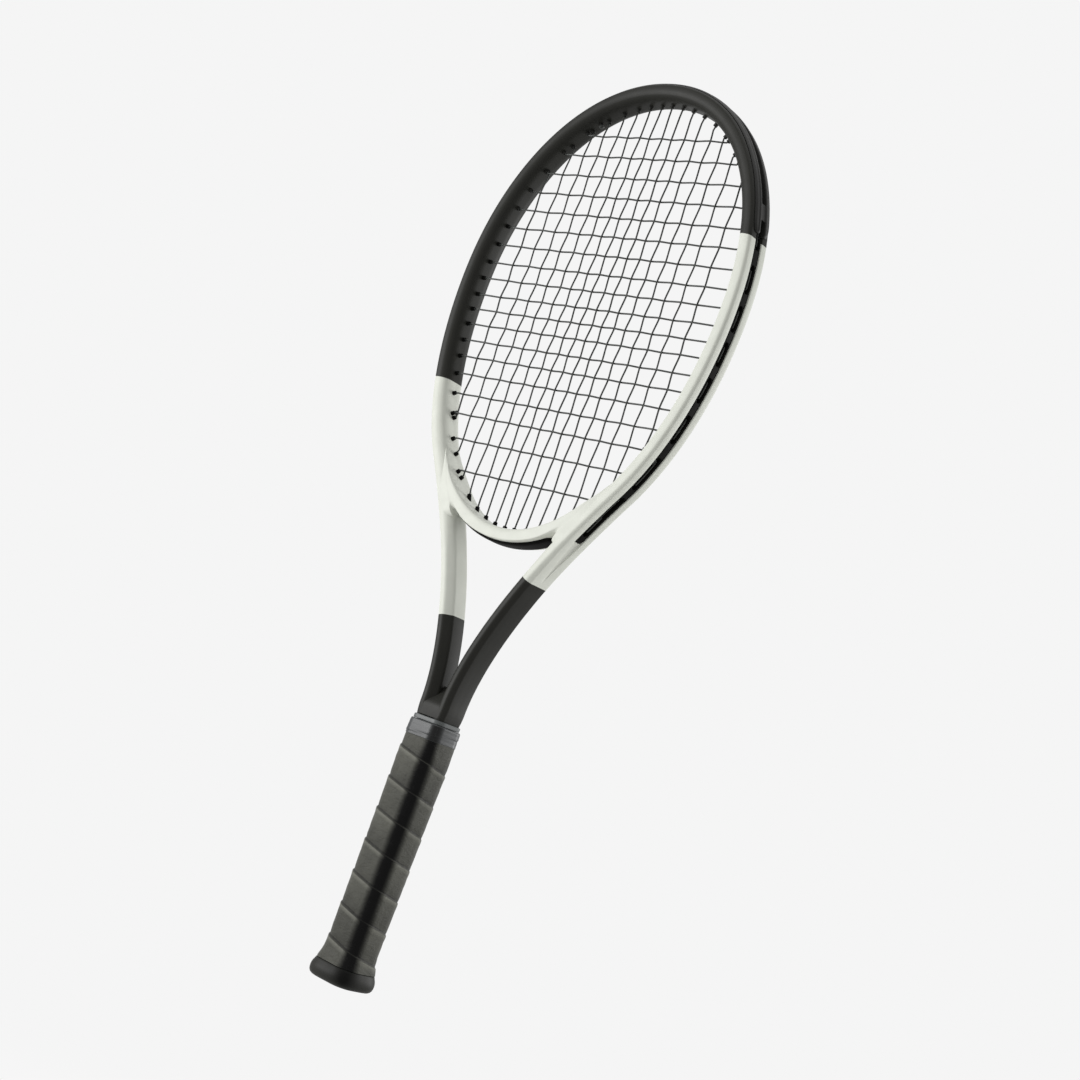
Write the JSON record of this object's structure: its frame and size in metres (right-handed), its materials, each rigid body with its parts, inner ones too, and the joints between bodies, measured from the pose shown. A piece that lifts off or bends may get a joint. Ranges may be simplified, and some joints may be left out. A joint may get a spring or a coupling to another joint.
{
  "type": "tennis racket",
  "caption": "Strung adult tennis racket: oval head, open throat with a curved bridge, and an octagonal wrapped grip.",
  "frame": {"origin": "middle of the butt end, at the face the racket stands on", "axes": "+Z from the butt to the tip of the head, +X across the head to the right seen from the front, +Y square to the strings, towards the back"},
  "size_m": [0.2638, 0.0384, 0.685],
  "materials": {
    "lacquer": "satin off-white and charcoal lacquer over graphite",
    "nylon": "dark moulded nylon",
    "charcoal": "matte charcoal nylon",
    "cord": "dark grey synthetic string",
    "foam": "moulded rigid foam, hidden",
    "cap": "glossy dark nylon",
    "leather": "dark padded synthetic leather",
    "tape": "dark grey vinyl tape",
    "rubber": "dark rubber"
  },
  "bodies": {
    "racket": {"frame_hairpin": "lacquer", "throat_bridge": "lacquer", "throat_strip": "nylon", "side_strip_right": "nylon", "side_strip_left": "nylon", "bumper_guard": "charcoal", "main_string": "cord", "cross_string": "cord", "pallet_front": "foam", "pallet_back": "foam", "butt_cap": "cap", "grip_tape": "leather", "finishing_tape": "tape", "grip_collar": "rubber"},
    "door": {"butt_cap_door": "cap"}
  },
  "joints": [
    {"name": "door_pull", "type": "slide", "parent": "racket", "child": "door", "axis": [0, 0, -1], "range_m": [0, 0.01]}
  ]
}
